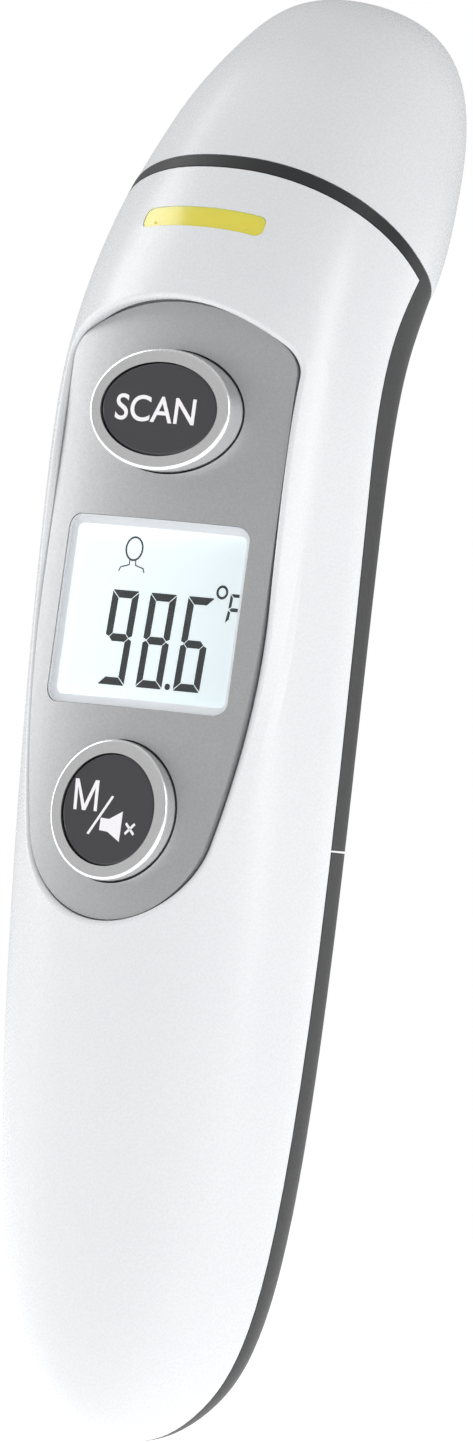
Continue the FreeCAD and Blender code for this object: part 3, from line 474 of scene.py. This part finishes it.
def lettering(word, size, x, y, face, stretch):
    """A word as a thin raised print, centred at x, y (mm) on the height face (m)."""
    curve = bpy.data.curves.new(word, "FONT")
    curve.body, curve.size = word, size * MM
    curve.align_x, curve.align_y = "CENTER", "CENTER"
    curve.extrude, curve.offset = INK_THICK / 2, LETTER_SPREAD
    made = bpy.data.objects.new(word, curve)
    bpy.context.scene.collection.objects.link(made)
    bpy.context.view_layer.update()
    flat = bpy.data.meshes.new_from_object(made.evaluated_get(
        bpy.context.evaluated_depsgraph_get()))
    bpy.data.objects.remove(made)
    mesh = bmesh.new()
    mesh.from_mesh(flat)
    bpy.data.meshes.remove(flat)
    bmesh.ops.scale(mesh, verts=mesh.verts, vec=(stretch, 1, 1))
    bmesh.ops.translate(mesh, verts=mesh.verts,
                        vec=(x * MM, y * MM, face + INK_THICK / 2 + INK_LIFT))
    return mesh


KEY_SINK = 0.2                           # mm from a ring's top down to its key's face
SCAN_FACE = (2.1 - KEY_SINK) * MM        # height of the key's face above the fascia
piece("scan_legend", lettering("SCAN", 3.95, -0.45, 21.45, SCAN_FACE, 1.04), FASCIA,
      "scan_button", INK)

# the lower key's print: a letter M, a slash, and a loudspeaker with a cross beside it
MODE_FACE, MODE_CENTRE = (1.4 - KEY_SINK) * MM, -21.25
mode_legend = bmesh.new()
ink_heights = (MODE_FACE + INK_LIFT, MODE_FACE + INK_LIFT + INK_THICK)
for outline in (((-4.55, -0.30), (-4.15, -0.30), (-4.30, 2.20), (-3.42, -0.30), (-2.98, -0.30),
                 (-2.02, 2.20), (-1.90, -0.30), (-1.50, -0.30), (-1.65, 3.00), (-2.12, 3.00),
                 (-3.20, 0.35), (-4.28, 3.00), (-4.75, 3.00)),
                ((-2.42, -2.72), (-2.12, -2.80), (0.50, 1.42), (0.22, 1.52)),
                ((-0.85, -2.25), (0.25, -2.35), (1.90, -3.30), (1.90, -0.05), (0.25, -0.98),
                 (-0.85, -0.92)),
                ((2.40, -2.30), (2.60, -2.50), (3.75, -1.35), (3.55, -1.15)),
                ((2.40, -1.35), (3.55, -2.50), (3.75, -2.30), (2.60, -1.15))):
    plate(mode_legend, [(x, MODE_CENTRE + y) for x, y in outline], *ink_heights)
piece("mode_legend", mode_legend, FASCIA, "mode_button", INK)

# LCP switch bodies and their plungers
finish(moulding("black_lcp_moulded", "#2B2B2D", "#232325", (0.4, 0.5), 0.3, 0.002),
       "scan_switch_body", "mode_switch_body", "processor", "sounder")
finish(moulding("brown_nylon_moulded", "#6B4A32", "#5F412B", (0.4, 0.5), 0.3, 0.002),
       "scan_switch_button", "mode_switch_button")

# ---- main board --------------------------------------------------------------------------------
# One glass-epoxy board behind the display carries the processor, the switches, the sounder and
# small soldered parts, and four screws hold it to posts in the front shell.
finish(BOARD, "main_board", "sensor_board")
# zinc plate, passivated: pale, slightly bluish, dull metal
ZINC = metal("zinc_plated_steel_screw", "#C9CCD0", "#B7BABF", (0.3, 0.42), 0.4)
finish(ZINC, "board_screws", "tray_screws", "sensor_screws")


def soldered_parts():
    # ceramic bodies between bright soldered ends: tan and black blocks with silver bands
    material, tree, place = blank("ceramic_parts_soldered")
    bands = add(tree, "ShaderNodeTexWave", {"Vector": place, "Scale": BAND_LENGTH / (1.7 * MM)},
                bands_direction="X")
    tint = add(tree, "ShaderNodeValToRGB", {"Fac": bands.outputs["Fac"]})
    tint.color_ramp.interpolation = "CONSTANT"
    tint.color_ramp.elements[0].color = colour("#2E2B29")
    tint.color_ramp.elements[1].position = 0.7
    tint.color_ramp.elements[1].color = colour("#C9C7C2")
    body = add(tree, "ShaderNodeBsdfPrincipled",
               {"Base Color": tint.outputs["Color"], "Roughness": 0.4, "IOR": 1.5})
    add(tree, "ShaderNodeOutputMaterial", {"Surface": body.outputs["BSDF"]})
    return material


finish(soldered_parts(), "board_parts")

# ---- battery bay -------------------------------------------------------------------------------
# A black ABS cradle holds two AAA cells side by side between plated contacts; two leads run
# from the upper contacts to the board.
finish(moulding("black_abs_plain_mould", "#2E2F31", "#27282A", (0.38, 0.5), 0.3, 0.003),
       "battery_tray")
NICKEL = metal("nickel_plated_spring_steel", "#D8D4CC", "#C7C2B9", (0.18, 0.3), 0.5)
finish(NICKEL, "lower_contact", "upper_plate_contact", "upper_spring_contact")


def cell_sleeve(name, crimp_low, crimp_high, band_at, sleeve, band):
    # alkaline cell: a shrink sleeve in two plain colours over steel that shows at both ends
    material, tree, place = blank(name)
    along = add(tree, "ShaderNodeSeparateXYZ", {"Vector": place})
    tint = add(tree, "ShaderNodeValToRGB", {"Fac": add(
        tree, "ShaderNodeMapRange", {"Value": along.outputs["Z"], "From Min": crimp_low,
                                     "From Max": crimp_high}).outputs["Result"]})
    tint.color_ramp.interpolation = "CONSTANT"
    stops = ((0.0, "#BDBDBA"), (0.012, band if band_at < 0.5 else sleeve),
             (band_at, sleeve if band_at < 0.5 else band), (0.985, "#BDBDBA"))
    while len(tint.color_ramp.elements) < len(stops):
        tint.color_ramp.elements.new(0.5)
    for element, (position, shade) in zip(tint.color_ramp.elements, stops):
        element.position, element.color = position, colour(shade)
    scuff = add(tree, "ShaderNodeTexNoise", {"Vector": place, "Scale": 1 / (2 * MM), "Detail": 4.0})
    dull = add(tree, "ShaderNodeMapRange", {"Value": scuff.outputs["Fac"],
                                            "To Min": 0.16, "To Max": 0.32})
    wrap = add(tree, "ShaderNodeBsdfPrincipled",
               {"Base Color": tint.outputs["Color"], "Metallic": 0.55,
                "Roughness": dull.outputs["Result"]})
    add(tree, "ShaderNodeOutputMaterial", {"Surface": wrap.outputs["BSDF"]})
    return material


for name, band_at in (("battery_left", 0.72), ("battery_right", 0.28)):
    low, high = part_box(name)
    finish(cell_sleeve(name + "_shrink_sleeve", low[2], high[2], band_at, "#2D3138", "#B9772F"),
           name)
# PVC sleeves, extruded: the red and the black lead
finish(by_side("black_and_red_pvc_sleeve", "#232326", "#B3211C", 0.4), "power_leads")

# ---- ear probe ----------------------------------------------------------------------------------
# Under the cap a white nozzle stands on the dark ring. It carries a gold-lined tube that leads
# to the infrared detector, which sits in a metal block with its own small board.
finish(moulding("white_abs_nozzle_fine_mould", "#EFF0F1", "#E9EAEC", (0.3, 0.38), 0.25, 0.001),
       "probe_nozzle")
# zinc alloy, die cast: dull grey with a grainy skin
finish(metal("zinc_alloy_die_cast", "#9C9DA0", "#8B8C90", (0.4, 0.55), 0.6), "sensor_block")
# nickel-plated steel can, drawn
finish(metal("nickel_plated_can_drawn", "#CFCBC3", "#BDB9B1", (0.2, 0.3), 0.4),
       "infrared_detector")
# gold flash on brass, drawn tube
finish(metal("gold_plated_brass_tube", "#E8C069", "#D9AE55", (0.14, 0.22), 0.4), "wave_guide")


def window_film():
    # polyethylene film that lets heat rays through: milky, faintly creased
    material, tree, place = blank("polyethylene_film_window")
    crease = add(tree, "ShaderNodeTexNoise",
                 {"Vector": place, "Scale": 1 / (0.8 * MM), "Detail": 3.0})
    dull = add(tree, "ShaderNodeMapRange", {"Value": crease.outputs["Fac"],
                                            "To Min": 0.18, "To Max": 0.34})
    bump = add(tree, "ShaderNodeBump", {"Height": crease.outputs["Fac"], "Distance": 0.01 * MM})
    film = add(tree, "ShaderNodeBsdfPrincipled",
               {"Base Color": colour("#6E7076"), "Roughness": dull.outputs["Result"], "IOR": 1.51,
                "Normal": bump.outputs["Normal"]})
    add(tree, "ShaderNodeOutputMaterial", {"Surface": film.outputs["BSDF"]})
    return material


finish(window_film(), "probe_window")
# nylon plug housing, moulded
finish(moulding("natural_nylon_moulded", "#E9E4D4", "#DED8C6", (0.4, 0.5), 0.3, 0.002),
       "sensor_plug")
finish(by_side("yellow_and_blue_pvc_sleeve", "#D8B93A", "#2E5FA3", 0.42), "sensor_leads")

# ---- cap ---------------------------------------------------------------------------------------
# The white dome over the ear probe is moulded like the shell. Two small magnets in its rim meet
# steel plates in the dark ring, and the thermometer measures through the opening in its tip.
finish(WHITE_ABS, "probe_cap")
finish(metal("nickel_plated_magnet", "#C6C7CA", "#B4B5B9", (0.15, 0.25), 0.5), "cap_magnets")
finish(metal("bare_steel_plate_stamped", "#A9ABAE", "#94969A", (0.3, 0.42), 0.3), "catch_plates")

# ---- stand, light and camera -------------------------------------------------------------------
# A plain white table and a white surround, with one broad soft lamp on each side and a small one
# behind on the right, and a long lens that looks level from the front and from the right.


def table_top():
    # matt white laminate with a hardly visible mottle, 25 mm apart; it glows, to stay pure white
    material, tree, place = blank("white_laminate_table")
    mottle = add(tree, "ShaderNodeTexNoise", {"Vector": place, "Scale": 1 / (25 * MM)})
    tint = add(tree, "ShaderNodeMix", {"Factor": mottle.outputs["Fac"]}, data_type="RGBA")
    tint.inputs[6].default_value = colour("#FDFDFD")
    tint.inputs[7].default_value = colour("#FAFAFA")
    top = add(tree, "ShaderNodeBsdfPrincipled",
              {"Base Color": tint.outputs[2], "Roughness": 0.7,
               "Emission Color": (1, 1, 1, 1), "Emission Strength": 0.6})
    add(tree, "ShaderNodeOutputMaterial", {"Surface": top.outputs["BSDF"]})
    return material


TABLE_DROP = 0.070      # the table is this far below the handle, clear of the open battery door
TABLE_HALF = 3.0
handle_foot = cad_box[0][2]
table_mesh = bmesh.new()
bmesh.ops.create_grid(table_mesh, x_segments=1, y_segments=1, size=TABLE_HALF)
bmesh.ops.translate(table_mesh, verts=table_mesh.verts, vec=(0, 0, handle_foot - TABLE_DROP))
table_data = bpy.data.meshes.new("table")
table_mesh.to_mesh(table_data)
table_mesh.free()
table_data.materials.append(table_top())
table = bpy.data.objects.new("table", table_data)
bpy.context.scene.collection.objects.link(table)

# the studio: pure white behind the object, and a surround that lights it more from above than
# from below
SURROUND_BELOW, SURROUND_ABOVE = 0.25, 0.63
world = bpy.data.worlds.new("white_surround")
bpy.context.scene.world = world
world.use_nodes = True
studio = world.node_tree
studio.nodes.clear()
heading = add(studio, "ShaderNodeSeparateXYZ",
              {"Vector": add(studio, "ShaderNodeTexCoord").outputs["Generated"]})
level = add(studio, "ShaderNodeMapRange",
            {"Value": heading.outputs["Z"], "From Min": -1.0, "From Max": 1.0,
             "To Min": SURROUND_BELOW, "To Max": SURROUND_ABOVE})
surround = add(studio, "ShaderNodeBackground", {"Strength": level.outputs["Result"]})
backdrop = add(studio, "ShaderNodeBackground", {"Strength": 1.0})
for light in (surround, backdrop):
    light.inputs["Color"].default_value = (1, 1, 1, 1)
seen = add(studio, "ShaderNodeLightPath").outputs["Is Camera Ray"]
both = add(studio, "ShaderNodeMixShader", {0: seen, 1: surround.outputs["Background"],
                                           2: backdrop.outputs["Background"]})
add(studio, "ShaderNodeOutputWorld", {"Surface": both.outputs["Shader"]})

MIDDLE_HEIGHT = 33.5 * MM
MIDDLE = Vector((0, 0, MIDDLE_HEIGHT))


def softbox(name, azimuth, elevation, distance, wide, high, watts):
    """A rectangular soft lamp that faces the object (degrees from the front, metres, watts)."""
    lamp = bpy.data.lights.new(name, "AREA")
    lamp.shape, lamp.size, lamp.size_y, lamp.energy = "RECTANGLE", wide, high, watts
    made = bpy.data.objects.new(name, lamp)
    turn, rise = math.radians(azimuth), math.radians(elevation)
    toward = Vector((math.sin(turn) * math.cos(rise), -math.cos(turn) * math.cos(rise),
                     math.sin(rise)))
    made.location = MIDDLE + toward * distance
    made.rotation_euler = toward.to_track_quat("Z", "Y").to_euler()
    bpy.context.scene.collection.objects.link(made)


softbox("left_softbox", -72, 20, 0.9, 0.40, 0.7, 3.0)
softbox("right_softbox", 72, 18, 0.9, 0.24, 0.7, 2.3)
softbox("rim_softbox", 145, 2, 0.9, 0.35, 0.35, 0.5)

bpy.context.scene.view_settings.view_transform = "Standard"

VIEW_TURN, VIEW_ROLL = math.radians(35.0), math.radians(5.5)
DISTANCE, PICTURE_HEIGHT, ASIDE = 2.0, 154.0 * MM, 4.43 * MM
SENSOR = 36.0
across = Vector((math.cos(VIEW_TURN), math.sin(VIEW_TURN), 0))
back = Vector((math.sin(VIEW_TURN), -math.cos(VIEW_TURN), 0))
up = Vector((0, 0, 1))
aim = across * ASIDE + up * MIDDLE_HEIGHT
lens = bpy.data.cameras.new("camera")
lens.sensor_width = SENSOR
lens.lens = SENSOR * DISTANCE / PICTURE_HEIGHT
lens.clip_end = 20.0
camera = bpy.data.objects.new("camera", lens)
right_side = across * math.cos(VIEW_ROLL) + up * math.sin(VIEW_ROLL)
upper_side = up * math.cos(VIEW_ROLL) - across * math.sin(VIEW_ROLL)
turned = Matrix((right_side, upper_side, back)).transposed()
camera.matrix_world = Matrix.Translation(aim + back * DISTANCE) @ turned.to_4x4()
bpy.context.scene.collection.objects.link(camera)
bpy.context.scene.camera = camera
